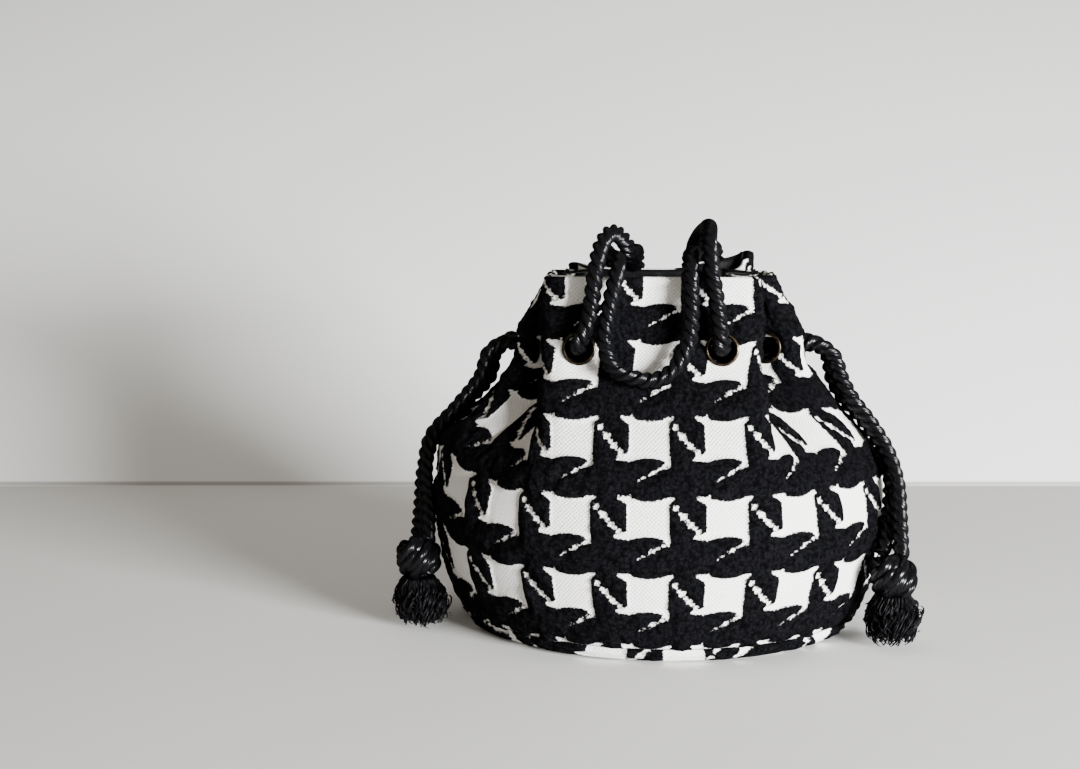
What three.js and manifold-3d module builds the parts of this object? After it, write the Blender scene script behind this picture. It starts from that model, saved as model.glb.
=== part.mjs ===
// A drawstring bucket handbag of houndstooth tweed: a gathered strip of cloth on a round base, with a
// lining, metal eyelets, two twisted cords that serve as handles and drawstrings, knots and tassels.
// Millimetres, +Z up. The front faces -Y and the origin is at the middle of the base's underside.
import * as THREE from 'three';
import { mergeVertices } from 'three/addons/utils/BufferGeometryUtils.js';
import Module from 'manifold-3d';

const wasm = await Module();
wasm.setup();

// Cloth
const stripLength = 572;
const quarter = stripLength / 4;
const tweedThickness = 2.2;
const liningThickness = 1.0;
const clearance = 0.3;
const seamHeight = 6.5;
const rimHeight = 153;
const ovalEase = 0.045;
const liningGap = 0.8;
const baseEdgeWidth = 6;
const baseSides = 48;

// Eyelets
const eyeletOuterRadius = 7.2;
const eyeletHoleRadius = 5.5;
const eyeletBarrel = 0.6;
const eyeletFlange = 0.9;
const eyeletBevel = 0.4;
const eyeletSides = 12;

// Cords, knots and tassels
const cordDiameter = 7;
const cordSides = 8;
const cordSteps = 76;
const knotRadius = 11.5;
const knotHalfHeight = 10.5;
const knotBands = 8;
const socketDiameter = 7.7;
const tasselRows = [
  { radius: 11.5, z: 0.5 },
  { radius: 13, z: 2.5 },
  { radius: 12.5, z: 8 },
  { radius: 11, z: 14 },
  { radius: 8, z: 18 },
];
const tasselTop = 20;
const turnedSides = 14;

// Sections of the body: height, half width and half depth of the smooth oval, and how far the wall has
// gone from that oval to the gathered plan of the neck.
const sectionRows = [
  { z: 6.5, width: 87, depth: 85, gather: 0 },
  { z: 23.5, width: 95, depth: 87, gather: 0 },
  { z: 42, width: 99.5, depth: 87, gather: 0 },
  { z: 60, width: 100.5, depth: 85, gather: 0.02 },
  { z: 72, width: 100.5, depth: 84, gather: 0.12 },
  { z: 84, width: 100.5, depth: 84, gather: 0.31 },
  { z: 98, width: 100, depth: 84, gather: 0.64 },
  { z: 110, width: 100, depth: 84, gather: 0.88 },
  { z: 120, width: 100, depth: 84, gather: 1 },
  { z: 163, width: 100, depth: 84, gather: 1.08 },
];

// Corners of one quarter of the neck plan, each rounded by an arc: front edge, deep pleat, side edge. The
// side leans in above the eyelets, so its edge and its middle have another x at the rim.
const frontMiddle = { x: 0, y: -46 };
const leanHeight = 128;
const foldCorners = [
  { x: 54.5, y: -45.5, radius: 6, parts: 3, before: 2 },
  { x: -1, y: -6, radius: 5, parts: 4, before: 2 },
  { x: 62.5, rimX: 52.5, y: -28.5, radius: 6, parts: 3, before: 2 },
];
const sideMiddle = { x: 61.5, rimX: 51.5, y: 0, before: 2 };

// The front panel is pulled out further on the left: how far along the strip, how much and over what reach.
const frontPull = { along: -57, x: -8, reach: 18 };

// The left side stays full at the shoulder: where, and the share of the gathering held back there.
const sideFullness = { along: -140, z: 76, share: 0.7, reach: 40, rise: 13 };

// Places where the rim stands up above its even height.
const rimLifts = [
  { along: 240, rise: 8, reach: 10 },
  { along: 257, rise: 4, reach: 12 },
  { along: -240, rise: 3, reach: 12 },
];

// Eyelets by distance along the strip from the front middle.
const eyeletRows = [
  { name: 'front_left', along: -34.5, z: 124 },
  { name: 'front_right', along: 28, z: 124 },
  { name: 'right_flank', along: 100, z: 123 },
  { name: 'right_exit_front', along: 134.5, z: 121 },
  { name: 'right_exit_back', along: 151.5, z: 121 },
  { name: 'right_back_flank', along: 186, z: 123 },
  { name: 'back_right', along: 251.5, z: 124 },
  { name: 'back_left', along: -258, z: 124 },
  { name: 'left_back_flank', along: -186, z: 123 },
  { name: 'left_exit_back', along: -151.5, z: 121 },
  { name: 'left_exit_front', along: -134.5, z: 121 },
  { name: 'left_flank', along: -100, z: 123 },
];

const cloth = { color: 0xe9e6e0, roughness: 0.9, metalness: 0 };
const satin = { color: 0x1b1b1e, roughness: 0.55, metalness: 0 };
const blackCord = { color: 0x141416, roughness: 0.5, metalness: 0 };
const darkBrass = { color: 0x5a4a38, roughness: 0.35, metalness: 1 };

// Walks one quarter of the neck plan: straight runs and the arcs that round its corners.
function quarterPlan(atRim) {
  const points = [new THREE.Vector2(frontMiddle.x, frontMiddle.y)];
  const stops = [frontMiddle, ...foldCorners, sideMiddle].map((p) => {
    return new THREE.Vector2(atRim ? p.rimX ?? p.x : p.x, p.y);
  });
  foldCorners.forEach((corner, index) => {
    const into = stops[index + 1].clone().sub(stops[index]).normalize();
    const out = stops[index + 2].clone().sub(stops[index + 1]).normalize();
    const turn = Math.atan2(into.cross(out), into.dot(out));
    const reach = corner.radius * Math.tan(Math.abs(turn) / 2);
    const start = stops[index + 1].clone().addScaledVector(into, -reach);
    const side = new THREE.Vector2(-into.y, into.x).multiplyScalar(Math.sign(turn) * corner.radius);
    const centre = start.clone().add(side);
    addRun(points, start, corner.before);
    for (let part = 1; part <= corner.parts; part += 1) {
      points.push(start.clone().rotateAround(centre, (turn * part) / corner.parts));
    }
  });
  addRun(points, stops.at(-1), sideMiddle.before);
  return points;
}

function addRun(points, end, parts) {
  const start = points.at(-1).clone();
  for (let part = 1; part <= parts; part += 1) {
    points.push(start.clone().lerp(end, part / parts));
  }
}

// Mirrors the quarter round the whole neck, each point with its distance along the strip.
function wholePlan(atRim) {
  const points = quarterPlan(atRim);
  const lengths = [0];
  for (let index = 1; index < points.length; index += 1) {
    lengths.push(lengths.at(-1) + points[index].distanceTo(points[index - 1]));
  }
  const scale = quarter / lengths.at(-1);
  const front = points.map((p, index) => ({ along: lengths[index] * scale, x: p.x, y: p.y }));
  const back = front.slice(0, -1).reverse().map((p) => ({ along: 2 * quarter - p.along, x: p.x, y: -p.y }));
  const right = [...front, ...back];
  const left = right.slice(1).reverse().map((p) => ({ along: -p.along, x: -p.x, y: p.y }));
  return [...left, ...right];
}

const plan = wholePlan(false);
const rimPlan = wholePlan(true);
const columns = plan.slice(0, -1).map((p) => p.along);

function wrapped(along) {
  return along - stripLength * Math.floor((along + 2 * quarter) / stripLength);
}

function neckPoint(along, z) {
  const place = wrapped(along);
  const index = Math.max(1, plan.findIndex((p) => p.along >= place));
  const share = (place - plan[index - 1].along) / (plan[index].along - plan[index - 1].along);
  const lean = Math.max(0, (z - leanHeight) / (rimHeight - leanHeight));
  const [low, high] = [plan, rimPlan].map((rows) => {
    const [before, after] = [rows[index - 1], rows[index]];
    return new THREE.Vector2(before.x, before.y).lerp(new THREE.Vector2(after.x, after.y), share);
  });
  const offset = (place - frontPull.along) / frontPull.reach;
  const pull = new THREE.Vector2(frontPull.x * Math.exp(-offset * offset), 0);
  return low.lerp(high, lean).add(pull);
}

// A smooth curve through the section rows, with each row's slope taken from its neighbours.
function section(z, key) {
  const last = sectionRows.length - 1;
  const index = THREE.MathUtils.clamp(sectionRows.findIndex((row) => row.z > z) - 1, 0, last - 1);
  const slope = (i) => {
    const low = sectionRows[Math.max(i - 1, 0)];
    const high = sectionRows[Math.min(i + 1, last)];
    return (high[key] - low[key]) / (high.z - low.z);
  };
  const start = sectionRows[index];
  const end = sectionRows[index + 1];
  const step = end.z - start.z;
  const f = (z - start.z) / step;
  const startShare = 2 * f ** 3 - 3 * f ** 2 + 1;
  const startPull = (f ** 3 - 2 * f ** 2 + f) * step;
  const endPull = (f ** 3 - f ** 2) * step;
  return startShare * start[key] + startPull * slope(index)
    + (1 - startShare) * end[key] + endPull * slope(index + 1);
}

// The share of the gathering that the full left shoulder holds back: a bell along the strip and up the wall.
function fullness(along, z) {
  const across = wrapped(along - sideFullness.along) / sideFullness.reach;
  const up = (z - sideFullness.z) / sideFullness.rise;
  return sideFullness.share * Math.exp(-across * across - up * up);
}

// The outside of the tweed at a distance along the strip and a height.
function outside(along, z) {
  const angle = (along / stripLength) * 2 * Math.PI;
  const eased = angle - ovalEase * Math.sin(2 * angle);
  const neck = neckPoint(along, z);
  const gather = section(z, 'gather') * (1 - fullness(along, z));
  const x = section(z, 'width') * Math.sin(eased);
  const y = -section(z, 'depth') * Math.cos(eased);
  return new THREE.Vector3(x + gather * (neck.x - x), y + gather * (neck.y - y), z);
}

function outward(along, z) {
  const reach = 1.2;
  const around = outside(along + reach, z).sub(outside(along - reach, z));
  const up = outside(along, z + reach).sub(outside(along, z - reach));
  return around.cross(up).normalize();
}

function rimAt(along) {
  return rimLifts.reduce((height, lift) => {
    const offset = wrapped(along - lift.along) / lift.reach;
    return height + lift.rise * Math.exp(-offset * offset);
  }, rimHeight);
}

// A point of the wall: share runs from the seam to the rim, inset goes in from the outside.
function wallPoint(along, share, inset) {
  const z = THREE.MathUtils.lerp(seamHeight, rimAt(along), share);
  return outside(along, z).addScaledVector(outward(along, z), -inset);
}

function meshOf(name, geometry, look) {
  const mesh = new THREE.Mesh(geometry, new THREE.MeshStandardMaterial(look));
  mesh.name = name;
  return mesh;
}

function solidOf(geometry) {
  const bare = geometry.clone();
  bare.deleteAttribute('normal');
  bare.deleteAttribute('uv');
  const merged = mergeVertices(bare, 1e-4);
  const vertProperties = new Float32Array(merged.attributes.position.array);
  const triVerts = new Uint32Array(merged.index.array);
  return new wasm.Manifold(new wasm.Mesh({ numProp: 3, vertProperties, triVerts }));
}

function geometryOf(solid) {
  const mesh = solid.getMesh();
  const geometry = new THREE.BufferGeometry();
  geometry.setAttribute('position', new THREE.BufferAttribute(mesh.vertProperties.slice(), 3));
  geometry.setIndex(new THREE.BufferAttribute(mesh.triVerts.slice(), 1));
  return geometry;
}

// Rings of points joined into a closed surface, the last ring to the first.
function closedRings(rings) {
  const count = rings[0].length;
  const positions = rings.flat().flatMap((p) => [p.x, p.y, p.z]);
  const index = [];
  for (let band = 0; band < rings.length; band += 1) {
    const low = band * count;
    const high = ((band + 1) % rings.length) * count;
    for (let step = 0; step < count; step += 1) {
      const next = (step + 1) % count;
      index.push(low + step, low + next, high + next, low + step, high + next, high + step);
    }
  }
  const geometry = new THREE.BufferGeometry();
  geometry.setAttribute('position', new THREE.Float32BufferAttribute(positions, 3));
  geometry.setIndex(index);
  return geometry;
}

function wallRings(shares, inset) {
  return shares.map((share) => columns.map((along) => wallPoint(along, share, inset)));
}

// Rows of the wall as shares of its height. The lining has the rows of the neck.
const bellyShares = [0.11, 0.23, 0.34, 0.43, 0.5, 0.57, 0.64];
const neckShares = [0.71, 0.78, 0.89];
const liningTop = 0.995;

// Tweed strip: the outside from seam to rim, then the inside back down.
function tweedWall() {
  const shares = [0, ...bellyShares, ...neckShares, 1];
  const outer = wallRings(shares, 0);
  const inner = wallRings(shares, tweedThickness).reverse();
  return closedRings([...outer, ...inner]);
}

// Lining: the band that shows inside the mouth, from below the eyelets to just under the rim.
function liningBand() {
  const inset = tweedThickness + liningGap;
  const shares = [...neckShares, liningTop];
  const outer = wallRings(shares, inset);
  const inner = wallRings(shares, inset + liningThickness).reverse();
  return closedRings([...outer, ...inner]);
}

// Base: a flat oval panel, and its edge that turns up to the seam.
function onOval(profile) {
  const row = sectionRows[0];
  const geometry = new THREE.LatheGeometry(profile.map(([r, h]) => new THREE.Vector2(r, h)), baseSides);
  geometry.rotateX(Math.PI / 2);
  geometry.scale(1, row.depth / row.width, 1);
  return geometry;
}

function basePanel() {
  const flat = sectionRows[0].width - baseEdgeWidth - clearance;
  return onOval([[0, 0], [flat, 0], [flat, tweedThickness], [0, tweedThickness]]);
}

function baseEdge() {
  const { width } = sectionRows[0];
  const edgeTop = seamHeight - clearance;
  const flat = width - baseEdgeWidth;
  const innerEdge = width - tweedThickness;
  return onOval([
    [flat, 0], [flat + 0.6 * baseEdgeWidth, 0.18 * edgeTop], [width - 0.5, 0.56 * edgeTop],
    [width, edgeTop], [innerEdge, edgeTop], [innerEdge - 1, 0.64 * edgeTop],
    [flat, tweedThickness], [flat, 0],
  ]);
}

const grip = tweedThickness + liningGap + liningThickness;
const flangeFace = grip / 2 + clearance;

function eyeletRing() {
  const barrel = eyeletHoleRadius + eyeletBarrel;
  const crown = flangeFace + eyeletFlange;
  const outer = [[eyeletHoleRadius, crown], [eyeletOuterRadius - eyeletBevel, crown],
    [eyeletOuterRadius, flangeFace], [barrel, flangeFace]];
  const inner = [...outer].reverse().map(([r, h]) => [r, -h]);
  const loop = [...outer, ...inner, outer[0]];
  return new THREE.LatheGeometry(loop.map(([r, h]) => new THREE.Vector2(r, h)).reverse(), eyeletSides);
}

// The room that an eyelet takes in the cloth, with its clearance.
function eyeletRoom() {
  const reach = flangeFace + eyeletFlange + clearance;
  const barrel = eyeletHoleRadius + eyeletBarrel + clearance;
  const flange = eyeletOuterRadius + clearance;
  const face = grip / 2;
  const profile = [[0, -reach], [flange, -reach], [flange, -face], [barrel, -face],
    [barrel, face], [flange, face], [flange, reach], [0, reach]];
  return new THREE.LatheGeometry(profile.map(([r, h]) => new THREE.Vector2(r, h)), eyeletSides);
}

function eyeletFrame(row) {
  const normal = outward(row.along, row.z);
  const centre = outside(row.along, row.z).addScaledVector(normal, -grip / 2);
  const turn = new THREE.Quaternion().setFromUnitVectors(new THREE.Vector3(0, 1, 0), normal);
  return new THREE.Matrix4().compose(centre, turn, new THREE.Vector3(1, 1, 1));
}

function pierced(geometry) {
  return geometryOf(eyeletRows.reduce((solid, row) => {
    return solid.subtract(solidOf(eyeletRoom().applyMatrix4(eyeletFrame(row))));
  }, solidOf(geometry)));
}

// Routes of the two cords, from the left knot to the right knot.
const frontCordRoute = [
  [-100.5, -33, 38], [-101.5, -24, 50.5], [-104, -14, 66], [-102, -8, 80], [-90, -7, 94],
  [-79.5, -7.5, 107.5], [-75.5, -7.8, 118.5], [-67.5, -8, 123.3], [-59, -7.8, 121.6],
  [-47, -7.5, 122.5], [-33, -7, 123], [-21, -10, 123.5], [-15.5, -18.5, 124], [-17, -26.5, 124.5],
  [-21.5, -31.5, 124.6], [-28.3, -34.8, 124.2], [-33.9, -39.6, 123.8], [-33.9, -44, 124.6],
  [-33.9, -49, 125.2], [-32.4, -53, 129], [-29.4, -54, 136], [-27.9, -53, 146], [-26.5, -51.5, 158],
  [-24.6, -46, 167], [-21.2, -40, 172], [-18, -34, 171.5], [-14.2, -27, 166.5], [-12.8, -17, 160.5],
  [-12.3, 0, 158], [-11.8, 25, 160], [-11.2, 41, 162], [-10.8, 50, 155], [-10.3, 52.5, 142],
  [-8.5, 53.5, 127], [-4, 54.5, 117.5], [2, 55, 115], [8, 54.5, 117.5], [13, 53.5, 127],
  [14.5, 52.5, 142], [15, 50, 155], [15.5, 41, 163.5], [17.5, 22, 169.5], [20, -6, 173.5],
  [20.5, -30, 174], [20, -44, 169], [21, -51, 158.5], [23, -53, 146], [24.5, -54, 136],
  [25.6, -53, 129], [26, -49, 125.2], [26, -44, 124.6], [25.6, -39.7, 124.4], [21.5, -34, 124.4],
  [16.5, -27, 124.5], [15, -18.5, 124], [20, -10, 123.5], [33, -7, 123], [47, -7.5, 122.5],
  [59, -7.8, 121.6], [67.5, -8, 123.3], [75.5, -9, 118.5], [79.5, -11, 108], [84, -12.5, 99.5],
  [91.5, -17, 89.5], [98, -22.5, 78.5], [101.5, -30, 66], [101.8, -37.5, 53.5], [101.8, -46, 37],
];
const backCordRoute = [
  [-105.5, -25.5, 38], [-105.8, -14.5, 50.5], [-105.8, -3.5, 66], [-101.8, 2.2, 80], [-88, 3, 94.5],
  [-76.5, 2.2, 107.5], [-74.3, 3.8, 117.5], [-67.5, 7.6, 123.3], [-59, 7.8, 121.6], [-47, 7.5, 122.5],
  [-33, 7, 123], [-20, 10, 123.5], [-15, 18.5, 124], [-16.5, 27, 124.5], [-21.5, 34, 124.4],
  [-25.6, 39.7, 124.4], [-26, 44, 124.6], [-26, 49, 125.2], [-25.8, 53, 129], [-25.7, 54, 136],
  [-26, 53, 147], [-26, 49, 156.5], [-25, 39, 161], [-24, 20, 162], [-22.6, -6, 161.5],
  [-21, -30, 161.5], [-17.8, -44, 160.5], [-18.6, -51, 153], [-21.1, -54.3, 140], [-22.5, -54.8, 127],
  [-18.5, -56, 116.5], [-9.5, -57, 112.5], [-2, -57, 112], [5, -56, 115.5], [11.5, -54.5, 126],
  [13, -54, 140], [12.5, -51, 153], [12.5, -43, 161.5], [14, -28, 163], [17.5, -4, 162.5],
  [21.5, 20, 162.5], [24.5, 38, 164], [26, 47, 161.5], [28.5, 53, 149], [31.3, 54, 137],
  [32.6, 53, 129], [32.4, 49, 125.2], [32.2, 44, 124.6], [32.2, 39.6, 123.8], [27.3, 35.3, 124.2],
  [21.5, 31.5, 124.6], [17, 26.5, 124.5], [15.5, 18.5, 124], [21, 10, 123.5], [33, 7, 123],
  [47, 7.5, 122.5], [59, 7.8, 121.6], [67.5, 7.6, 123.3], [74.5, 3.2, 117.5], [76.5, -1.5, 108],
  [81.3, -4.3, 99.5], [90.4, -9.2, 89.5], [97.5, -14.4, 78.5], [100.3, -21.8, 66],
  [98.8, -29.6, 53.5], [94.5, -42, 38],
];
const knotPlaces = {
  left: { x: -104.5, y: -32, z: 30 },
  right: { x: 98.5, y: -48, z: 28 },
};

function cordTube(route, diameter) {
  const path = new THREE.CatmullRomCurve3(route.map(([x, y, z]) => new THREE.Vector3(x, y, z)));
  const outline = Array.from({ length: cordSides }, (_, step) => {
    const angle = ((step + 0.5) / cordSides) * 2 * Math.PI;
    return new THREE.Vector2(Math.cos(angle), Math.sin(angle)).multiplyScalar(diameter / 2);
  });
  const settings = { extrudePath: path, steps: cordSteps, curveSegments: 1, bevelEnabled: false };
  return new THREE.ExtrudeGeometry(new THREE.Shape(outline), settings);
}

function turned(rows, place) {
  const profile = rows.map(([r, h]) => new THREE.Vector2(r, h));
  const geometry = new THREE.LatheGeometry(profile, turnedSides);
  geometry.rotateX(Math.PI / 2);
  geometry.translate(place.x, place.y, place.z);
  return geometry;
}

function knotBall(place, margin) {
  const rows = Array.from({ length: knotBands + 1 }, (_, band) => {
    const angle = (band / knotBands - 0.5) * Math.PI;
    const radius = band % knotBands === 0 ? 0 : (knotRadius + margin) * Math.cos(angle);
    return [radius, (knotHalfHeight + margin) * Math.sin(angle)];
  });
  return solidOf(turned(rows, place));
}

// A knot is a rounded lump with a socket for each cord end, and its tassel is a skirt below it.
function knotLump(place) {
  const sockets = [frontCordRoute, backCordRoute].map((route) => solidOf(cordTube(route, socketDiameter)));
  return geometryOf(sockets.reduce((lump, socket) => lump.subtract(socket), knotBall(place, 0)));
}

function tasselSkirt(place) {
  const side = tasselRows.map((row) => [row.radius, row.z]);
  const rows = [[0, tasselRows[0].z], ...side, [0, tasselTop]];
  const skirt = solidOf(turned(rows, { x: place.x, y: place.y, z: 0 }));
  return geometryOf(skirt.subtract(knotBall(place, clearance)));
}

const bag = new THREE.Group();
bag.add(meshOf('base_panel', basePanel(), cloth));
bag.add(meshOf('base_edge', baseEdge(), cloth));
bag.add(meshOf('body_panel', pierced(tweedWall()), cloth));
bag.add(meshOf('lining', pierced(liningBand()), satin));
for (const row of eyeletRows) {
  const ring = meshOf(`eyelet_${row.name}`, eyeletRing(), darkBrass);
  ring.applyMatrix4(eyeletFrame(row));
  bag.add(ring);
}
bag.add(meshOf('front_cord', cordTube(frontCordRoute, cordDiameter), blackCord));
bag.add(meshOf('back_cord', cordTube(backCordRoute, cordDiameter), blackCord));
for (const [side, place] of Object.entries(knotPlaces)) {
  bag.add(meshOf(`knot_${side}`, knotLump(place), blackCord));
  bag.add(meshOf(`tassel_${side}`, tasselSkirt(place), blackCord));
}

export default bag;
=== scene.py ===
from math import radians

import bpy
import numpy as np
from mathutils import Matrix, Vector


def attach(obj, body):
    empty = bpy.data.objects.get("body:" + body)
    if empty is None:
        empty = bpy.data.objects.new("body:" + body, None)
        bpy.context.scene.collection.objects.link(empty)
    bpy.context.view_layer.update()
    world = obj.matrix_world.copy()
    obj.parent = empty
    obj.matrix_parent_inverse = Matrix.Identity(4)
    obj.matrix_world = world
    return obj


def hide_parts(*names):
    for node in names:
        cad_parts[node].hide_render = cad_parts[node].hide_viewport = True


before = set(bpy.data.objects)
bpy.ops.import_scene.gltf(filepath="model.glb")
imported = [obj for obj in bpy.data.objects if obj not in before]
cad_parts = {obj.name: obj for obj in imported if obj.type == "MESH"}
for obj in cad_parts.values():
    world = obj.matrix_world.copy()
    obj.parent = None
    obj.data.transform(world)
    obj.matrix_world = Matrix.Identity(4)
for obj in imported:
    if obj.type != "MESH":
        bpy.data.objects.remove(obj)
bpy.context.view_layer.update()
mm = 0.001

# The wall of the bag in millimetres: rows of the smooth oval and of the share gathered into the neck plan.
wall = {
    "strip": 572.0, "seam": 6.5, "rim": 153.0, "ease": 0.045, "leanFrom": 128.0, "thick": 2.2,
    "z": [6.5, 23.5, 42, 60, 72, 84, 98, 110, 120, 163],
    "width": [87, 95, 99.5, 100.5, 100.5, 100.5, 100, 100, 100, 100],
    "depth": [85, 87, 87, 85, 84, 84, 84, 84, 84, 84],
    "gather": [0, 0, 0, 0.02, 0.12, 0.31, 0.64, 0.88, 1, 1.08],
    "front": (0, -46), "side": (61.5, 0), "sideRim": (51.5, 0),
    "corners": [(54.5, -45.5), (-1, -6), (62.5, -28.5)],
    "cornersRim": [(54.5, -45.5), (-1, -6), (52.5, -28.5)],
    "radii": [6, 5, 6], "arcParts": 14, "runParts": 8,
    "lifts": [(240, 8, 10), (257, 4, 12), (-240, 3, 12)], "pull": (-57, -8, 18),
    "full": {"along": -140, "z": 76, "share": 0.7, "reach": 40, "rise": 13},
}


# A cubic through the section rows, each row's slope taken from its two neighbours.
def sectionAt(z, key):
    heights = np.array(wall["z"], float)
    values = np.array(wall[key], float)
    low = np.maximum(np.arange(len(heights)) - 1, 0)
    high = np.minimum(np.arange(len(heights)) + 1, len(heights) - 1)
    slopes = (values[high] - values[low]) / (heights[high] - heights[low])
    i = np.clip(np.searchsorted(heights, z, side="right") - 1, 0, len(heights) - 2)
    step = heights[i + 1] - heights[i]
    f = (z - heights[i]) / step
    start = 2 * f**3 - 3 * f**2 + 1
    pulls = (f**3 - 2 * f**2 + f) * slopes[i] + (f**3 - f**2) * slopes[i + 1]
    return start * values[i] + (1 - start) * values[i + 1] + pulls * step


# One quarter of the neck plan: straight runs between corners, each corner replaced by an arc of its radius.
def quarterPlan(corners, side):
    stops = np.array([wall["front"], *corners, side], float)
    points = [stops[:1]]
    for k, radius in enumerate(wall["radii"]):
        into = stops[k + 1] - stops[k]
        out = stops[k + 2] - stops[k + 1]
        into, out = into / np.linalg.norm(into), out / np.linalg.norm(out)
        turn = np.arctan2(into[0] * out[1] - into[1] * out[0], into @ out)
        start = stops[k + 1] - into * radius * np.tan(abs(turn) / 2)
        centre = start + np.sign(turn) * radius * np.array([-into[1], into[0]])
        run = np.linspace(0, 1, wall["runParts"] + 1)[1:, None]
        points.append(points[-1][-1] + run * (start - points[-1][-1]))
        angle = turn * np.linspace(0, 1, wall["arcParts"] + 1)[1:]
        arm = start - centre
        points.append(centre + np.stack([arm[0] * np.cos(angle) - arm[1] * np.sin(angle),
                                         arm[0] * np.sin(angle) + arm[1] * np.cos(angle)], 1))
    run = np.linspace(0, 1, wall["runParts"] + 1)[1:, None]
    points.append(points[-1][-1] + run * (stops[-1] - points[-1][-1]))
    return np.concatenate(points)


neckQuarter = quarterPlan(wall["corners"], wall["side"])
rimQuarter = quarterPlan(wall["cornersRim"], wall["sideRim"])
neckAlong = np.concatenate([[0], np.cumsum(np.linalg.norm(np.diff(neckQuarter, axis=0), axis=1))])
neckAlong *= wall["strip"] / 4 / neckAlong[-1]


# Distance along the closed strip from a place on it, the shorter way round.
def wrapped(along, middle):
    half = wall["strip"] / 2
    return (along - middle + half) % wall["strip"] - half


# Distance along the strip from the front middle, folded into one quarter with the signs of x and y.
def folded(along):
    half = wall["strip"] / 2
    offset = wrapped(along, 0)
    away = np.abs(offset)
    return np.minimum(away, half - away), np.where(offset < 0, -1, 1), np.where(away > half / 2, -1, 1)


# Share of the gathering that the full left shoulder holds back: a bell along the strip and up the wall.
def fullness(along, z):
    row = wall["full"]
    across = wrapped(along, row["along"]) / row["reach"]
    return row["share"] * np.exp(-across**2 - ((z - row["z"]) / row["rise"])**2)


# Outside of the tweed: the oval of the section moved towards the neck plan by the gathered share. The neck
# plan is pulled sideways by a bell-shaped shift on the left of the front.
def outside(along, z):
    along, z = np.broadcast_arrays(np.asarray(along, float), np.asarray(z, float))
    turn = along / wall["strip"] * 2 * np.pi
    turn = turn - wall["ease"] * np.sin(2 * turn)
    x = sectionAt(z, "width") * np.sin(turn)
    y = -sectionAt(z, "depth") * np.cos(turn)
    quarter, signX, signY = folded(along)
    lean = np.maximum(0, (z - wall["leanFrom"]) / (wall["rim"] - wall["leanFrom"]))
    low = [np.interp(quarter, neckAlong, neckQuarter[:, k]) for k in (0, 1)]
    high = [np.interp(quarter, neckAlong, rimQuarter[:, k]) for k in (0, 1)]
    gather = sectionAt(z, "gather") * (1 - fullness(along, z))
    middle, shift, reach = wall["pull"]
    sideways = shift * np.exp(-(wrapped(along, middle) / reach)**2)
    neckX = signX * (low[0] + lean * (high[0] - low[0])) + sideways
    neckY = signY * (low[1] + lean * (high[1] - low[1]))
    return np.stack([x + gather * (neckX - x), y + gather * (neckY - y), z], -1)


# Unit normal of the outside: cross product of a small step along the strip and a small step up.
def outward(along, z, reach=1.2):
    around = outside(along + reach, z) - outside(along - reach, z)
    up = outside(along, z + reach) - outside(along, z - reach)
    normal = np.cross(around, up)
    return normal / np.linalg.norm(normal, axis=-1, keepdims=True)


# Height of the rim: even, with a bell-shaped rise at each lift.
def rimAt(along):
    height = np.full(np.shape(along), wall["rim"])
    for middle, rise, reach in wall["lifts"]:
        height = height + rise * np.exp(-(wrapped(along, middle) / reach)**2)
    return height


# Smooth share of the way from low to high: three squares less two cubes of the clipped share.
def smoothStep(low, high, value):
    f = np.clip((value - low) / (high - low), 0, 1)
    return f * f * (3 - 2 * f)


# A mesh from one or more grids of points in millimetres, rows by columns, the columns closed round. Rows can
# be closed too (loop) or capped, faces can be left out (keep), and each face corner has the grid's own UV.
def gridMesh(name, points, loop=False, caps=False, keep=None, uv=None, fields=None):
    points = points if points.ndim == 4 else points[None]
    count, rows, cols = points.shape[:3]
    mesh = bpy.data.meshes.new(name)
    spans = (np.arange(count), np.arange(rows if loop else rows - 1), np.arange(cols))
    k, i, j = (axis.ravel() for axis in np.meshgrid(*spans, indexing="ij"))
    if keep is not None:
        k, i, j = k[keep.ravel()], i[keep.ravel()], j[keep.ravel()]
    low, high = (k * rows + i) * cols, (k * rows + (i + 1) % rows) * cols
    faces = np.stack([low + j, low + (j + 1) % cols, high + (j + 1) % cols, high + j], 1).tolist()
    if caps:
        foot = np.arange(count)[:, None] * rows * cols + np.arange(cols)
        faces += foot[:, ::-1].tolist() + (foot + (rows - 1) * cols).tolist()
    mesh.from_pydata((points.reshape(-1, 3) * mm).tolist(), [], faces)
    if uv is not None:
        across, up = uv
        corners = np.stack([np.stack([across[j], across[j + 1], across[j + 1], across[j]], 1),
                            np.stack([up[i], up[i], up[i + 1], up[i + 1]], 1)], -1).reshape(-1, 2)
        spare = np.zeros((len(mesh.loops) - len(corners), 2))
        layer = mesh.uv_layers.new(name="cloth")
        layer.data.foreach_set("uv", np.concatenate([corners, spare]).ravel())
    for key, values in (fields or {}).items():
        mesh.attributes.new(key, "FLOAT", "POINT").data.foreach_set("value", values.ravel())
    mesh.shade_smooth()
    mesh.update()
    piece = bpy.data.objects.new(name, mesh)
    bpy.context.collection.objects.link(piece)
    return piece


# A finished piece gets its look and its body, and the CAD nodes that it stands for are hidden.
def place(piece, look, slot, *nodes):
    piece.data.materials.append(look)
    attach(piece, "root")
    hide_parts(*nodes)


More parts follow.
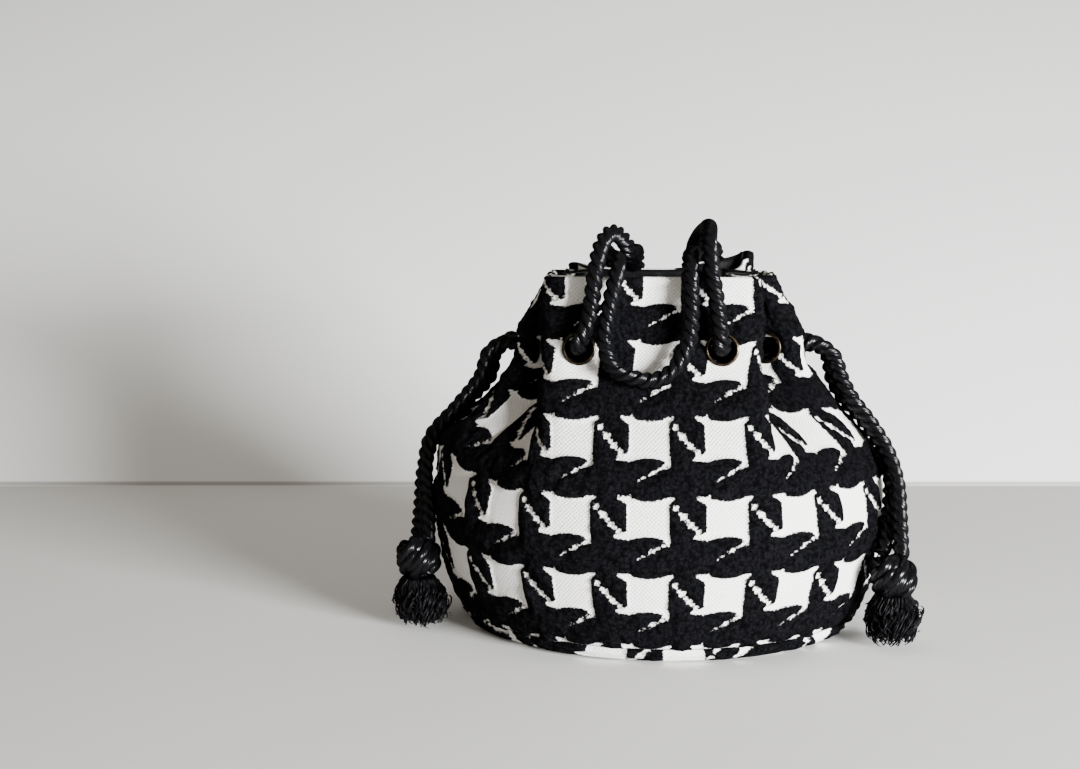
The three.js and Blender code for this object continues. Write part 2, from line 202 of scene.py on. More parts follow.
# Houndstooth chart in units of one repeat, x to the right and y up from the middle of a white square.
tweed = {
    "repeat": wall["strip"] / 18, "column": -4.0,
    "rowZ": [-30.5, -0.2, 28.8, 59.3, 88.7, 118.3, 150.3, 181.0], "firstRow": -2,
    "half": (0.262, 0.28), "topDip": 0.055, "footRise": 0.055, "skew": 0.01,
    "ear": [(-0.25, 0.235, 0.05), (-0.375, 0.275, 0.018)],
    "peak": [(-0.235, 0.25, 0.022), (-0.228, 0.312, 0.006)],
    "point": [(0.24, 0.235, 0.04), (0.325, 0.27, 0.012)],
    "tail": [(0.235, -0.24, 0.045), (0.265, -0.325, 0.018)],
    "hook": [(-0.26, -0.215, 0.05), (-0.41, -0.235, 0.018)],
    "steps": [(0.35, 0.145, 0.032, 0.034), (0.405, 0.075, 0.026, 0.018), (0.445, 0.035, 0.042, 0.036),
              (0.495, -0.025, 0.026, 0.022), (0.54, -0.075, 0.038, 0.032), (0.585, -0.115, 0.03, 0.018),
              (0.635, -0.16, 0.03, 0.03)],
    "dots": [(0.2, -0.335, 0.03, 0.022), (0.135, -0.365, 0.022, 0.012), (0.07, -0.405, 0.028, 0.026),
             (0.02, -0.435, 0.014, 0.016), (-0.065, -0.475, 0.024, 0.012), (-0.12, -0.515, 0.012, 0.01)],
    "relief": 1.1, "edge": (-0.9, 0.5), "dome": 1.1, "domeReach": (0.5, 5.0), "lumps": 0.275,
}


# Distance inside a tapered bar: its radius, which changes from one end to the other, less the distance to it.
def barField(x, y, ends):
    (x0, y0, r0), (x1, y1, r1) = ends
    along = np.clip(((x - x0) * (x1 - x0) + (y - y0) * (y1 - y0)) / ((x1 - x0)**2 + (y1 - y0)**2), 0, 1)
    away = np.hypot(x - x0 - along * (x1 - x0), y - y0 - along * (y1 - y0))
    return r0 + along * (r1 - r0) - away


# Distance inside the white of one repeat: a square with a dipped top and a raised foot, its corner tips,
# the steps of the falling line and the dots of the rising line. Positive is white.
def repeatField(x, y):
    halfX, halfY = tweed["half"]
    bow = np.clip(1 - (x / halfX)**2, 0, 1)
    top = halfY - tweed["topDip"] * bow
    foot = -halfY + tweed["footRise"] * bow
    white = np.minimum(halfX - np.abs(x + tweed["skew"] * y), np.minimum(top - y, y - foot))
    for tip in ("ear", "peak", "point", "tail", "hook"):
        white = np.maximum(white, barField(x, y, tweed[tip]))
    for px, py, halfAcross, halfUp in tweed["steps"] + tweed["dots"]:
        white = np.maximum(white, np.minimum(halfAcross - np.abs(x - px), halfUp - np.abs(y - py)))
    return white


# The chart repeated both ways: the largest field of the nine nearest repeats, in millimetres.
def houndstooth(across, up):
    x = across - np.round(across)
    y = up - np.round(up)
    shifts = [(a, b) for a in (-1, 0, 1) for b in (-1, 0, 1)]
    return np.max([repeatField(x + a, y + b) for a, b in shifts], axis=0) * tweed["repeat"]


# Smooth random lumps of about unit size: random values, each averaged with its neighbours on the grid.
def lumps(shape, seed):
    values = np.random.default_rng(seed).normal(size=shape)
    for axis in (0, 1):
        values = values + np.roll(values, 1, axis) + np.roll(values, -1, axis)
    return values / values.std()


# Raised black yarn: a plateau beside the white that domes towards the middle of the black, with random lumps.
def reliefOf(field, seed):
    black = 1 - smoothStep(*tweed["edge"], field)
    dome = tweed["dome"] * smoothStep(*tweed["domeReach"], -field)
    return np.maximum(black * (tweed["relief"] + dome + tweed["lumps"] * lumps(field.shape, seed)), 0)


eyelets = {
    "front_left": (-34.5, 124), "front_right": (28, 124), "right_flank": (100, 123),
    "right_exit_front": (134.5, 121), "right_exit_back": (151.5, 121), "right_back_flank": (186, 123),
    "back_right": (251.5, 124), "back_left": (-258, 124), "left_back_flank": (-186, 123),
    "left_exit_back": (-151.5, 121), "left_exit_front": (-134.5, 121), "left_flank": (-100, 123),
}
eyeletSize = {
    "hole": 5.5, "outer": 7.2, "barrel": 6.1, "grip": 4.0, "crown": 3.2, "lip": 0.75, "under": 2.3,
    "sides": 48, "lipParts": 9, "clothDepth": 6.0, "fade": (7.0, 9.4), "nowhere": 1000.0,
}
eyeletAlong = np.array([row[0] for row in eyelets.values()], float)
eyeletZ = np.array([row[1] for row in eyelets.values()], float)
eyeletNormal = outward(eyeletAlong, eyeletZ)
eyeletMiddle = outside(eyeletAlong, eyeletZ) - eyeletNormal * eyeletSize["grip"] / 2


# Distance of points from the nearest eyelet's axis, where they lie within its cloth's thickness.
def eyeletDistance(points):
    nearest = np.full(points.shape[:2], eyeletSize["nowhere"])
    for middle, normal in zip(eyeletMiddle, eyeletNormal):
        offset = points - middle
        height = offset @ normal
        away = np.sqrt(np.maximum((offset**2).sum(-1) - height**2, 0))
        near = np.abs(height) < eyeletSize["clothDepth"]
        nearest = np.where(near, np.minimum(nearest, away), nearest)
    return nearest


# Faces of a grid that keep clear of the eyelets' barrels.
def clearOfEyelets(points):
    middles = (points[:-1] + points[1:]) / 2
    middles = (middles + np.roll(middles, -1, axis=1)) / 2
    return eyeletDistance(middles) > eyeletSize["barrel"]


# A new material with two functions: one adds a node, whose options are its settings and whose sockets are its
# inputs, and the other fills in the surface shader. A socket is linked, a constant is set.
def newLook(name):
    look = bpy.data.materials.new(name)
    look.use_nodes = True
    tree = look.node_tree

    def fill(node, sockets):
        for key, value in sockets.items():
            if isinstance(value, bpy.types.NodeSocket):
                tree.links.new(value, node.inputs[key])
            else:
                node.inputs[key].default_value = value
        return node.outputs

    def add(kind, options, sockets):
        node = tree.nodes.new("ShaderNode" + kind)
        for key, value in options.items():
            setattr(node, key, value)
        return fill(node, sockets)

    def surface(sockets):
        return fill(tree.nodes["Principled BSDF"], sockets)[0]

    return look, add, surface


# One sum on two values in the shader.
def maths(add, operation, a, b=0.0):
    return add("Math", {"operation": operation}, {0: a, 1: b})[0]


# Sine of a coordinate with the given wavelength, shifted by a wobble.
def ripple(add, value, wavelength, wobble=0.0):
    turned = maths(add, "MULTIPLY", value, 2 * np.pi / wavelength)
    return maths(add, "SINE", maths(add, "ADD", turned, wobble))


# A colour that is the given share of the way from low to high.
def mixColour(add, share, low, high):
    return add("Mix", {"data_type": "RGBA"}, {0: share, 6: low, 7: high})[2]


# Smooth share of the way from low to high, as in smoothStep.
def spread(add, value, low, high):
    return add("MapRange", {"interpolation_type": "SMOOTHSTEP"}, {0: value, 1: low, 2: high})[0]


tweedLook = {
    "edge": 0.25, "edgeNoise": 1.5, "fuzz": {"Scale": 1.1, "Detail": 3.0},
    "fine": {"Scale": 1.7, "Detail": 5.0, "Roughness": 0.7}, "loops": {"Scale": 0.75, "Randomness": 1.0},
    "whitePitch": 1.75, "bend": 3.2, "weave": 0.22, "whiteToneAndShadeSpan": (0.15, 0.75),
    "nap": 2.2, "blackSpan": (0.35, 1.15), "bump": {"Strength": 0.85, "Distance": 0.001},
    "finish": {"Roughness": 0.9, "Specular IOR Level": 0.025},
    "white": [(0.66, 0.645, 0.615, 1), (0.90, 0.885, 0.855, 1)],
    "black": [(0.0003, 0.0003, 0.0004, 1), (0.0058, 0.0058, 0.0073, 1)],
}


# Tweed: the chart's field with a noisy edge picks white or black; white has a fine plain weave, black is the
# mottled nap of fuzzy yarn loops, and both are raised by a bump. Each colour follows its bump height: the
# white is darker in the weave's gaps as painted shade and varies with random noise, and the black is lighter
# where its noise is high and towards the loops' middles.
def makeTweed():
    look, add, surface = newLook("houndstooth tweed")
    uv = add("UVMap", {"uv_map": "cloth"}, {})[0]
    u, v, _ = add("SeparateXYZ", {}, {0: uv})
    field = add("Attribute", {"attribute_name": "field"}, {})["Fac"]
    fuzz = add("TexNoise", {}, {"Vector": uv, **tweedLook["fuzz"]})[0]
    fine = add("TexNoise", {}, {"Vector": uv, **tweedLook["fine"]})[0]
    shift = maths(add, "MULTIPLY", maths(add, "SUBTRACT", fuzz, 0.5), tweedLook["edgeNoise"])
    white = spread(add, maths(add, "ADD", field, shift), -tweedLook["edge"], tweedLook["edge"])
    bend = maths(add, "MULTIPLY", fuzz, tweedLook["bend"])
    weave = maths(add, "MULTIPLY", ripple(add, u, tweedLook["whitePitch"], bend),
                  ripple(add, v, tweedLook["whitePitch"], bend))
    whiteHeight = maths(add, "ADD", maths(add, "MULTIPLY", weave, tweedLook["weave"]), fine)
    loops = add("TexVoronoi", {"feature": "SMOOTH_F1"}, {"Vector": uv, **tweedLook["loops"]})[0]
    blackHeight = maths(add, "SUBTRACT", maths(add, "MULTIPLY", fine, tweedLook["nap"]), loops)
    # Painted shade: the white's colour follows its bump height, darker in the weave's gaps, besides random
    # noise tone.
    whiteColour = mixColour(add, spread(add, whiteHeight, *tweedLook["whiteToneAndShadeSpan"]), *tweedLook["white"])
    blackColour = mixColour(add, spread(add, blackHeight, *tweedLook["blackSpan"]), *tweedLook["black"])
    height = add("Mix", {"data_type": "FLOAT"}, {0: white, 2: blackHeight, 3: whiteHeight})[0]
    normal = add("Bump", {}, {"Height": height, **tweedLook["bump"]})[0]
    colour = mixColour(add, white, blackColour, whiteColour)
    surface({"Base Color": colour, "Normal": normal, **tweedLook["finish"]})
    return look


cordLook = {
    "colour": [(0.0006, 0.0006, 0.0008, 1), (0.003, 0.003, 0.0038, 1)], "yarns": 7.0, "slant": 0.16,
    "grain": {"Scale": 1.5, "Detail": 4.0, "Roughness": 0.6}, "grainShare": 0.8,
    "bump": {"Strength": 0.5, "Distance": 0.00008}, "matt": {"Roughness": 0.9, "Specular IOR Level": 0.0},
    "glint": (1, 1, 1, 1), "satin": (0.2, 0.012), "yarn": (0.45, 0.007),
}


# Twisted satin cord: fine yarns run along each strand at a slant, with small gaps between them. A share of
# even gloss over the matt black gives thin glints without paling the edges.
def makeCord(name, roughness, gloss):
    look, add, surface = newLook(name)
    uv = add("UVMap", {"uv_map": "cloth"}, {})[0]
    u, v, _ = add("SeparateXYZ", {}, {0: uv})
    around = maths(add, "MULTIPLY", u, cordLook["yarns"])
    slant = maths(add, "ADD", around, maths(add, "MULTIPLY", v, cordLook["slant"]))
    yarns = ripple(add, slant, 1.0)
    grain = add("TexNoise", {}, {"Vector": uv, **cordLook["grain"]})[0]
    height = maths(add, "ADD", yarns, maths(add, "MULTIPLY", grain, cordLook["grainShare"]))
    normal = add("Bump", {}, {"Height": height, **cordLook["bump"]})[0]
    colour = mixColour(add, grain, *cordLook["colour"])
    matt = surface({"Base Color": colour, "Normal": normal, **cordLook["matt"]})
    glint = add("BsdfGlossy", {}, {"Color": cordLook["glint"], "Roughness": roughness, "Normal": normal})[0]
    both = add("MixShader", {}, {0: gloss, 1: matt, 2: glint})[0]
    look.node_tree.links.new(both, look.node_tree.nodes["Material Output"].inputs["Surface"])
    return look


satinLook = {
    "colour": [(0.001, 0.001, 0.0013, 1), (0.003, 0.003, 0.0035, 1)], "pitch": 0.7, "weave": 0.05,
    "rumple": {"Scale": 0.08, "Detail": 3.0}, "rumpleShare": 3.0,
    "bump": {"Strength": 0.6, "Distance": 0.0008}, "finish": {"Roughness": 0.45, "Specular IOR Level": 0.1},
}


# Black lining satin: a very fine weave over slow rumples.
def makeLining():
    look, add, surface = newLook("lining satin")
    uv = add("UVMap", {"uv_map": "cloth"}, {})[0]
    u, v, _ = add("SeparateXYZ", {}, {0: uv})
    rumple = add("TexNoise", {}, {"Vector": uv, **satinLook["rumple"]})[0]
    weave = maths(add, "ADD", ripple(add, u, satinLook["pitch"]), ripple(add, v, satinLook["pitch"]))
    slow = maths(add, "MULTIPLY", rumple, satinLook["rumpleShare"])
    height = maths(add, "ADD", maths(add, "MULTIPLY", weave, satinLook["weave"]), slow)
    normal = add("Bump", {}, {"Height": height, **satinLook["bump"]})[0]
    colour = mixColour(add, rumple, *satinLook["colour"])
    surface({"Base Color": colour, "Normal": normal, **satinLook["finish"]})
    return look


brassLook = {
    "colour": [(0.02, 0.015, 0.011, 1), (0.085, 0.063, 0.043, 1)], "worn": {"Scale": 420.0, "Detail": 4.0},
    "rubbed": (0.4, 0.65), "bump": {"Strength": 0.25, "Distance": 0.0001}, "rough": 0.34, "smoother": 0.12,
}


# Dark antique brass: brown metal, brighter and smoother where the noise says it is rubbed.
def makeBrass():
    look, add, surface = newLook("antique brass")
    spot = add("TexCoord", {}, {})["Object"]
    worn = add("TexNoise", {}, {"Vector": spot, **brassLook["worn"]})[0]
    rubbed = spread(add, worn, *brassLook["rubbed"])
    colour = mixColour(add, rubbed, *brassLook["colour"])
    normal = add("Bump", {}, {"Height": worn, **brassLook["bump"]})[0]
    rough = maths(add, "SUBTRACT", brassLook["rough"], maths(add, "MULTIPLY", rubbed, brassLook["smoother"]))
    surface({"Base Color": colour, "Metallic": 1.0, "Roughness": rough, "Normal": normal})
    return look


tweedCloth = makeTweed()
satinCord = makeCord("satin cord", *cordLook["satin"])
frayedYarn = makeCord("frayed yarn", *cordLook["yarn"])
liningSatin = makeLining()
antiqueBrass = makeBrass()
print("looks made")


bodyParts = {
    "columns": 640, "rows": 132, "foldRows": 6, "hemRows": 8, "hem": 30.0, "flat": (0.572, 0.20), "seed": 11,
    "drawn": {"along": -128.0, "rise": 11.0, "reach": 34.0, "starts": (8.0, 55.0), "ends": (128.0, 95.0)},
    "slide": {"rim": 5.0, "heights": (105.0, 150.0)},
    "bunch": {"shift": 3.0, "along": 38.0, "reach": 16.0, "z": 122.0, "rise": 16.0},
}


# Pattern coordinates in repeats at a distance along the strip and a height. The rows rise in a bell-shaped
# wave on the left side, most at half height, where the cloth is drawn up. The columns slide to the right up
# the neck, and a little more in a bell about the right front eyelet.
def patternAt(along, z):
    drawn, slide, bunch = bodyParts["drawn"], bodyParts["slide"], bodyParts["bunch"]
    wave = drawn["rise"] * np.exp(-(wrapped(along, drawn["along"]) / drawn["reach"])**2)
    wave = wave * smoothStep(*drawn["starts"], z) * smoothStep(*drawn["ends"], z)
    rows = np.arange(len(tweed["rowZ"])) + tweed["firstRow"]
    far = ((along - bunch["along"]) / bunch["reach"])**2 + ((z - bunch["z"]) / bunch["rise"])**2
    shift = slide["rim"] * smoothStep(*slide["heights"], z) + bunch["shift"] * np.exp(-far)
    return (along - tweed["column"] - shift) / tweed["repeat"], np.interp(z - wave, tweed["rowZ"], rows)


# The strip from the seam up its outside, over the rim in a half round, and down the hem inside. The outside
# is lifted along its normal by the relief, which fades at the eyelets and over the rim.
def bodyGrid():
    cols = bodyParts["columns"]
    along = (np.arange(cols) / cols - 0.5) * wall["strip"]
    rim = rimAt(along)
    share = np.linspace(0, 1, bodyParts["rows"])[:, None]
    z = wall["seam"] + share * (rim - wall["seam"])
    flat = outside(along, z)
    across, up = patternAt(along + 0 * z, z)
    field = houndstooth(across, up)
    lift = reliefOf(field, bodyParts["seed"]) * smoothStep(*eyeletSize["fade"], eyeletDistance(flat))
    outer = flat + outward(along, z) * lift[..., None]
    top = outward(along, rim)
    angle = np.linspace(0, np.pi, bodyParts["foldRows"] + 2)[1:-1, None]
    radius = wall["thick"] / 2
    reach = lift[-1] * (1 + np.cos(angle)) / 2 - radius * (1 - np.cos(angle))
    fold = outside(along, rim) + top * reach[..., None]
    fold[..., 2] += radius * np.sin(angle)
    hemZ = rim - np.linspace(0, bodyParts["hem"], bodyParts["hemRows"])[:, None]
    hem = outside(along, hemZ) - outward(along, hemZ) * wall["thick"]
    past = np.concatenate([rim + radius * angle, 2 * rim - hemZ + np.pi * radius])
    fields = np.concatenate([field, houndstooth(*patternAt(along + 0 * past, past))])
    upMm = np.concatenate([up.mean(1), patternAt(0, past.mean(1))[1]]) * tweed["repeat"]
    return np.concatenate([outer, fold, hem]), fields, np.append(along, wall["strip"] / 2), upMm


points, field, acrossMm, upMm = bodyGrid()
bodyPiece = gridMesh("tweed_body", points, uv=(acrossMm, upMm), fields={"field": field},
                     keep=clearOfEyelets(points))
place(bodyPiece, tweedCloth, "tweed", "body_panel")
print("body", len(bodyPiece.data.polygons))


# The base's profile rows are distances in from the widest oval and heights, from the middle of the underside
# out, up the edge and back in; inside is the chart's field there, which is black.
baseParts = {
    "columns": 300, "rows": 90, "under": 0.2, "middle": 0.4, "edge": 6.0, "top": 6.2,
    "outer": [(2.4, 1.1), (0.4, 3.4), (-0.1, 6.2)], "inner": (3.2, 3.9),
    "phase": (11.0, 7.3), "inside": -8.0, "seed": 12, "uvRadius": 85.0,
}


# Base dish: a flat oval whose edge turns up to the seam, the profile carried round the oval. The chart lies
# flat on it and is drawn up its edge, and the relief lifts only the edge, so the bottom stays on the table.
# The inside of the dish is plain black.
def baseGrid():
    width, depth = wall["width"][0], wall["depth"][0]
    thick = wall["thick"]
    rows = [(width - baseParts["middle"], baseParts["under"]), (baseParts["edge"], baseParts["under"])]
    rows += [*baseParts["outer"], (thick, baseParts["top"]), baseParts["inner"]]
    rows += [(baseParts["edge"], thick), (width - baseParts["middle"], thick)]
    profile = np.array(rows) * (-1, 1) + (width, 0)
    run = np.concatenate([[0], np.cumsum(np.linalg.norm(np.diff(profile, axis=0), axis=1))])
    steps = np.linspace(0, run[-1], baseParts["rows"])
    edge = np.linspace(run[1], run[4], baseParts["rows"])
    steps = np.sort(np.concatenate([steps[::3], edge[::2]]))
    radius = np.interp(steps, run, profile[:, 0])[:, None]
    z = np.interp(steps, run, profile[:, 1])[:, None]
    turn = np.arange(baseParts["columns"]) / baseParts["columns"] * 2 * np.pi - np.pi / 2
    far = np.minimum(steps, run[4])[:, None]
    phaseX, phaseY = baseParts["phase"]
    across, up = far * np.cos(turn) - phaseX, far * np.sin(turn) - phaseY
    field = houndstooth(across / tweed["repeat"], up / tweed["repeat"])
    raised = smoothStep(run[1], run[3], steps) * (steps <= run[4])
    lift = reliefOf(field, baseParts["seed"]) * raised[:, None]
    field = np.where(steps[:, None] > run[5], baseParts["inside"], field)
    x = (radius + lift) * np.cos(turn)
    y = (radius + lift) * np.sin(turn) * depth / width
    return np.stack([x, y, z + 0 * turn], -1), field, steps, turn


points, field, steps, turn = baseGrid()
basePiece = gridMesh("tweed_base", points, caps=True, fields={"field": field},
                     uv=(np.append(turn, turn[0] + 2 * np.pi) * baseParts["uvRadius"], steps))
place(basePiece, tweedCloth, "tweed", "base_panel", "base_edge")
print("base", len(basePiece.data.polygons))


liningParts = {
    "columns": 360, "rows": 70, "turned": 6, "foot": 8.0, "inset": 3.0, "thick": 1.0, "over": 0.7,
    "flat": (0.572, 0.17),
}


# Lining: the wall's own shape set in by the inset, from the floor of the bag to just over the rim, its top
# turned over.
def liningGrid():
    along = (np.arange(liningParts["columns"]) / liningParts["columns"] - 0.5) * wall["strip"]
    top = rimAt(along) + liningParts["over"]
    share = np.linspace(0, 1, liningParts["rows"])[:, None]
    z = liningParts["foot"] + share * (top - liningParts["foot"])
    normal = outward(along, z)
    turned = (outside(along, z) - normal * liningParts["inset"])[-liningParts["turned"]:]
    inside = outside(along, z) - normal * (liningParts["inset"] + liningParts["thick"])
    rise = np.append(z.mean(1)[-liningParts["turned"]:], 2 * z.mean(1)[-1] - z.mean(1)[::-1])
    return np.concatenate([turned, inside[::-1]]), np.append(along, wall["strip"] / 2), rise


points, acrossMm, upMm = liningGrid()
liningPiece = gridMesh("satin_lining", points, uv=(acrossMm, upMm), keep=clearOfEyelets(points))
place(liningPiece, liningSatin, "lining", "lining")
print("lining", len(liningPiece.data.polygons))


# One eyelet: a closed profile of two rounded flanges and a barrel, turned about the axis of its hole.
def eyeletGrid(middle, normal):
    angle = np.linspace(0, np.pi, eyeletSize["lipParts"])
    half = (eyeletSize["outer"] - eyeletSize["hole"]) / 2
    lip = eyeletSize["hole"] + half - half * np.cos(angle)
    rise = eyeletSize["crown"] + eyeletSize["lip"] * (np.sin(angle) - 1)
    radius = np.concatenate([lip, [eyeletSize["barrel"], eyeletSize["barrel"]], lip[::-1]])
    height = np.concatenate([rise, [eyeletSize["under"], -eyeletSize["under"]], -rise[::-1]])
    turn = np.arange(eyeletSize["sides"]) / eyeletSize["sides"] * 2 * np.pi
    side = np.cross(normal, (0, 0, 1))
    side = side / np.linalg.norm(side)
    up = np.cross(side, normal)
    ring = np.cos(turn)[:, None] * side + np.sin(turn)[:, None] * up
    return middle + radius[::-1, None, None] * ring + height[::-1, None, None] * normal


for name, middle, normal in zip(eyelets, eyeletMiddle, eyeletNormal):
    ring = gridMesh("brass_eyelet_" + name, eyeletGrid(middle, normal), loop=True)
    place(ring, antiqueBrass, "eyelet_metal", "eyelet_" + name)
print("eyelets", len(eyelets))


# The cords' centrelines in millimetres, from the left knot to the right knot, as in the CAD.
cords = {
    "diameter": 7.0, "lay": 14.7, "spacing": 0.95, "sides": 30, "strand": 2.03, "off": 1.72,
    "aside": (0.31, 0.87, 0.38),
    "front": [
        (-100.5, -33, 38), (-101.5, -24, 50.5), (-104, -14, 66), (-102, -8, 80), (-90, -7, 94),
        (-79.5, -7.5, 107.5), (-75.5, -7.8, 118.5), (-67.5, -8, 123.3), (-59, -7.8, 121.6),
        (-47, -7.5, 122.5), (-33, -7, 123), (-21, -10, 123.5), (-15.5, -18.5, 124), (-17, -26.5, 124.5),
        (-21.5, -31.5, 124.6), (-28.3, -34.8, 124.2), (-33.9, -39.6, 123.8), (-33.9, -44, 124.6),
        (-33.9, -49, 125.2), (-32.4, -53, 129), (-29.4, -54, 136), (-27.9, -53, 146), (-26.5, -51.5, 158),
        (-24.6, -46, 167), (-21.2, -40, 172), (-18, -34, 171.5), (-14.2, -27, 166.5), (-12.8, -17, 160.5),
        (-12.3, 0, 158), (-11.8, 25, 160), (-11.2, 41, 162), (-10.8, 50, 155), (-10.3, 52.5, 142),
        (-8.5, 53.5, 127), (-4, 54.5, 117.5), (2, 55, 115), (8, 54.5, 117.5), (13, 53.5, 127),
        (14.5, 52.5, 142), (15, 50, 155), (15.5, 41, 163.5), (17.5, 22, 169.5), (20, -6, 173.5),
        (20.5, -30, 174), (20, -44, 169), (21, -51, 158.5), (23, -53, 146), (24.5, -54, 136),
        (25.6, -53, 129), (26, -49, 125.2), (26, -44, 124.6), (25.6, -39.7, 124.4), (21.5, -34, 124.4),
        (16.5, -27, 124.5), (15, -18.5, 124), (20, -10, 123.5), (33, -7, 123), (47, -7.5, 122.5),
        (59, -7.8, 121.6), (67.5, -8, 123.3), (75.5, -9, 118.5), (79.5, -11, 108), (84, -12.5, 99.5),
        (91.5, -17, 89.5), (98, -22.5, 78.5), (101.5, -30, 66), (101.8, -37.5, 53.5), (101.8, -46, 37),
    ],
    "back": [
        (-105.5, -25.5, 38), (-105.8, -14.5, 50.5), (-105.8, -3.5, 66), (-101.8, 2.2, 80), (-88, 3, 94.5),
        (-76.5, 2.2, 107.5), (-74.3, 3.8, 117.5), (-67.5, 7.6, 123.3), (-59, 7.8, 121.6), (-47, 7.5, 122.5),
        (-33, 7, 123), (-20, 10, 123.5), (-15, 18.5, 124), (-16.5, 27, 124.5), (-21.5, 34, 124.4),
        (-25.6, 39.7, 124.4), (-26, 44, 124.6), (-26, 49, 125.2), (-25.8, 53, 129), (-25.7, 54, 136),
        (-26, 53, 147), (-26, 49, 156.5), (-25, 39, 161), (-24, 20, 162), (-22.6, -6, 161.5),
        (-21, -30, 161.5), (-17.8, -44, 160.5), (-18.6, -51, 153), (-21.1, -54.3, 140), (-22.5, -54.8, 127),
        (-18.5, -56, 116.5), (-9.5, -57, 112.5), (-2, -57, 112), (5, -56, 115.5), (11.5, -54.5, 126),
        (13, -54, 140), (12.5, -51, 153), (12.5, -43, 161.5), (14, -28, 163), (17.5, -4, 162.5),
        (21.5, 20, 162.5), (24.5, 38, 164), (26, 47, 161.5), (28.5, 53, 149), (31.3, 54, 137),
        (32.6, 53, 129), (32.4, 49, 125.2), (32.2, 44, 124.6), (32.2, 39.6, 123.8), (27.3, 35.3, 124.2),
        (21.5, 31.5, 124.6), (17, 26.5, 124.5), (15.5, 18.5, 124), (21, 10, 123.5), (33, 7, 123),
        (47, 7.5, 122.5), (59, 7.8, 121.6), (67.5, 7.6, 123.3), (74.5, 3.2, 117.5), (76.5, -1.5, 108),
        (81.3, -4.3, 99.5), (90.4, -9.2, 89.5), (97.5, -14.4, 78.5), (100.3, -21.8, 66),
        (98.8, -29.6, 53.5), (94.5, -42, 38),
    ],
    "length": {"front": 0.797, "back": 0.795},
}


# A centripetal Catmull-Rom curve through the points, resampled at even distances.
def evenLine(route, spacing=None, count=None, perSpan=40):
    p = np.array(route, float)
    p = np.concatenate([[2 * p[0] - p[1]], p, [2 * p[-1] - p[-2]]])
    gap = np.linalg.norm(np.diff(p, axis=0), axis=1)**0.5
    t0, t1, t2 = gap[:-2, None, None], gap[1:-1, None, None], gap[2:, None, None]
    p0, p1, p2, p3 = (p[k:len(p) - 3 + k, None, :] for k in range(4))
    f = np.linspace(0, 1, perSpan, endpoint=False)[None, :, None]
    m1 = (p2 - p1) + t1 * ((p1 - p0) / t0 - (p2 - p0) / (t0 + t1))
    m2 = (p2 - p1) + t1 * ((p3 - p2) / t2 - (p3 - p1) / (t1 + t2))
    line = ((2 * f**3 - 3 * f**2 + 1) * p1 + (f**3 - 2 * f**2 + f) * m1
            + (3 * f**2 - 2 * f**3) * p2 + (f**3 - f**2) * m2)
    line = np.concatenate([line.reshape(-1, 3), p[-2:-1]])
    run = np.concatenate([[0], np.cumsum(np.linalg.norm(np.diff(line, axis=0), axis=1))])
    stops = np.linspace(0, run[-1], count or int(run[-1] / spacing) + 1)
    return np.stack([np.interp(stops, run, line[:, k]) for k in range(3)], 1), stops


# Frames along a line that turn as little as they can: each side vector is the last one made square again, and
# the first is square to a direction aside that no line starts along.
def framesOf(line):
    tangent = np.gradient(line, axis=0)
    tangent /= np.linalg.norm(tangent, axis=1, keepdims=True)
    side = np.zeros_like(line)
    last = np.cross(tangent[0], cords["aside"])
    for k, ahead in enumerate(tangent):
        last = last - (last @ ahead) * ahead
        last = last / np.linalg.norm(last)
        side[k] = last
    return side, np.cross(tangent, side)


# A rope of three strands: the outline is the union of three circles, carried along the line and turned by one
# full turn for each lay, left-handed.
def ropeGrid(line, stops, start=0.0, lay=cords["lay"]):
    turn = np.arange(cords["sides"]) / cords["sides"] * 2 * np.pi
    third = 2 * np.pi / 3
    offset = (turn + third / 2) % third - third / 2
    off = cords["off"]
    radius = off * np.cos(offset) + np.sqrt(cords["strand"]**2 - (off * np.sin(offset))**2)
    angle = turn - 2 * np.pi * stops[:, None] / lay + start
    side, across = framesOf(line)
    arm = np.cos(angle)[..., None] * side[:, None] + np.sin(angle)[..., None] * across[:, None]
    return line[:, None] + arm * radius[:, None]


ropeUv = np.linspace(0, 3, cords["sides"] + 1)
for name in ("front", "back"):
    line, stops = evenLine(cords[name], spacing=cords["spacing"])
    piece = gridMesh(name + "_rope", ropeGrid(line, stops), caps=True, uv=(ropeUv, stops))
    place(piece, satinCord, "cord", name + "_cord")
    print(name, "cord", round(stops[-1] * mm, 4), "m,", len(piece.data.polygons), "faces")


# Knots: two ropes each, wound slantwise about the knot's middle, their strands drawn out long.
knots = {
    "left": {"middle": (-104.5, -32, 30.5), "turn": 200.0, "tilt": 32.0},
    "right": {"middle": (98.5, -48, 29), "turn": 150.0, "tilt": 30.0},
}
knotShape = {
    "count": 170, "every": 6, "wraps": 1.75, "reach": 6.8, "height": 7.0, "lay": 46.0,
    "barrel": {"from": 0.07, "span": 0.86, "power": 0.55},
}


# Each rope winds down a barrel, whose radius is greatest half way; the second starts on the other side, and
# the whole is tilted so that the wraps run up to the right.
def knotGrid(side):
    s = np.linspace(0, 1, knotShape["count"])
    tilt = radians(knots[side]["tilt"])
    barrel = knotShape["barrel"]
    grids = []
    for half in (0, 1):
        angle = radians(knots[side]["turn"]) + np.pi * half - 2 * np.pi * knotShape["wraps"] * s
        bulge = np.sin(np.pi * (barrel["from"] + barrel["span"] * s))**barrel["power"]
        reach = knotShape["reach"] * bulge
        up = knotShape["height"] * (1 - 2 * s)
        x, y = reach * np.cos(angle), reach * np.sin(angle)
        route = np.stack([x * np.cos(tilt) - up * np.sin(tilt), y, x * np.sin(tilt) + up * np.cos(tilt)], 1)
        route = route[::knotShape["every"]] + knots[side]["middle"]
        line, stops = evenLine(route, count=knotShape["count"])
        grids.append(ropeGrid(line, stops, np.pi * half, knotShape["lay"]))
    return np.stack(grids), stops


